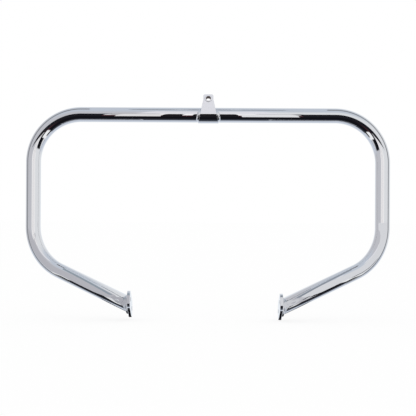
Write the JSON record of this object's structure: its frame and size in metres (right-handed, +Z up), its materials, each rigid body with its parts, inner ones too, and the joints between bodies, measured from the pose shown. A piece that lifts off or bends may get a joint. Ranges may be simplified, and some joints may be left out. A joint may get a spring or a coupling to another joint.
{
  "type": "motorcycle crash bars",
  "caption": "Chrome tubular engine guard for a cruiser motorcycle: a wide loop of bent tube with a top bracket and a slanted bolt flange at the end of each leg.",
  "frame": {"origin": "middle of the bush's rear end in the top bracket, where the guard meets the frame's lug", "axes": "+X to the guard's right, across the machine; +Y forward on the machine, away from the legs' sweep; +Z up"},
  "size_m": [0.776, 0.1297, 0.4756],
  "materials": {
    "tube_chrome": "polished",
    "bracket_chrome": "polished",
    "flange_chrome": "polished",
    "weld_chrome": "polished over rippled weld metal"
  },
  "bodies": {
    "root": {"guard_tube": "tube_chrome", "top_bracket": "bracket_chrome", "bracket_bush": "bracket_chrome", "bracket_weld_left": "weld_chrome", "bracket_weld_right": "weld_chrome", "flange_left": "flange_chrome", "flange_right": "flange_chrome", "flange_weld_left": "weld_chrome", "flange_weld_right": "weld_chrome"}
  },
  "joints": []
}
